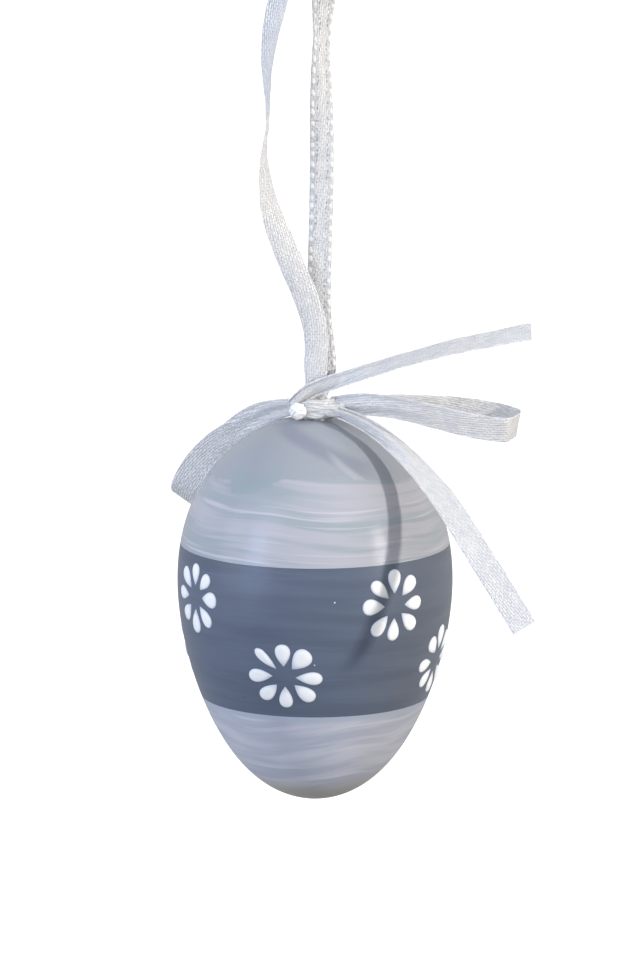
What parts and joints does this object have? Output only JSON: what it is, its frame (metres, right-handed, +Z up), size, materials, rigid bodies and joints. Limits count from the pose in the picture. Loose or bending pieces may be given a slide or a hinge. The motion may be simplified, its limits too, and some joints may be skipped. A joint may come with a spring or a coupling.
{
  "type": "hanging decorated egg",
  "caption": "Painted hollow egg with a dark belt of raised paint flowers, hung from a narrow satin ribbon loop finished with a small bow on top.",
  "frame": {"origin": "inside top of the hanging ribbon loop, where a hook or twig carries the egg; the egg hangs below it", "axes": "+Z up along the egg's axis, blunt end up; -Y to the front, where the bow's ball and the lower tail are; +X to the right seen from the front"},
  "size_m": [0.0456, 0.0435, 0.1116],
  "materials": {
    "shell_plastic": "moulded white",
    "cap_paint_upper": "brushed light grey-blue paint, varnished",
    "belt_paint": "dark slate paint, varnished",
    "cap_paint_lower": "brushed light lilac-grey paint, varnished",
    "petal_paint": "raised white paint drops",
    "satin_ribbon": "white satin with picot edges",
    "toggle_wood": "plain turned stick"
  },
  "bodies": {
    "hanger": {"hanging_loop": "satin_ribbon"},
    "bow": {"ribbon_sling": "satin_ribbon", "toggle": "toggle_wood", "bow_knot": "satin_ribbon", "bow_tail_upper": "satin_ribbon", "bow_tail_lower": "satin_ribbon", "bow_loop_left": "satin_ribbon", "bow_loop_right": "satin_ribbon"},
    "egg": {"egg_shell": "shell_plastic", "upper_coat": "cap_paint_upper", "belt_coat": "belt_paint", "lower_coat": "cap_paint_lower", "flower_upper_1": "petal_paint", "flower_upper_2": "petal_paint", "flower_upper_3": "petal_paint", "flower_upper_4": "petal_paint", "flower_lower_1": "petal_paint", "flower_lower_2": "petal_paint", "flower_lower_3": "petal_paint", "flower_lower_4": "petal_paint"}
  },
  "joints": [
    {"name": "egg_swing", "type": "hinge", "parent": "hanger", "child": "bow", "pos_m": [0.0005, 0, -0.05475], "axis": [1, 0, 0], "range_deg": [-30, 30]},
    {"name": "egg_spin", "type": "hinge", "parent": "bow", "child": "egg", "pos_m": [0, 0, -0.0622], "axis": [0, 0, 1], "continuous": true}
  ]
}
